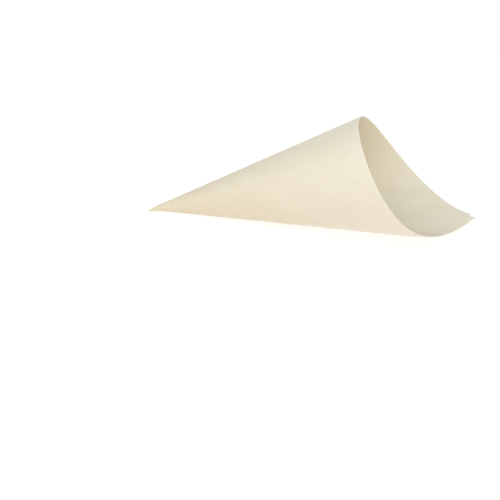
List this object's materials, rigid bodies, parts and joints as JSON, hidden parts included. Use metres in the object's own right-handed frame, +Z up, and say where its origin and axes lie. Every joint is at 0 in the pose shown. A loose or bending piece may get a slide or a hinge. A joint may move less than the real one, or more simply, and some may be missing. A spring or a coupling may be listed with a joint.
{
  "type": "wooden food cone",
  "caption": "Food cone rolled from a thin square wood veneer sheet, with a closed point, a slanted open mouth and a pointed tail, lying on its side.",
  "frame": {"origin": "on the flat strip that the cone lies on, half way along the cone and under its middle line", "axes": "+X from the closed point to the mouth and the pointed tail, +Z up through the glued seam"},
  "size_m": [0.2372, 0.091, 0.0808],
  "materials": {
    "veneer": "bare pale veneer, matt with a faint sheen"
  },
  "bodies": {
    "root": {"cone": "veneer"}
  },
  "joints": []
}
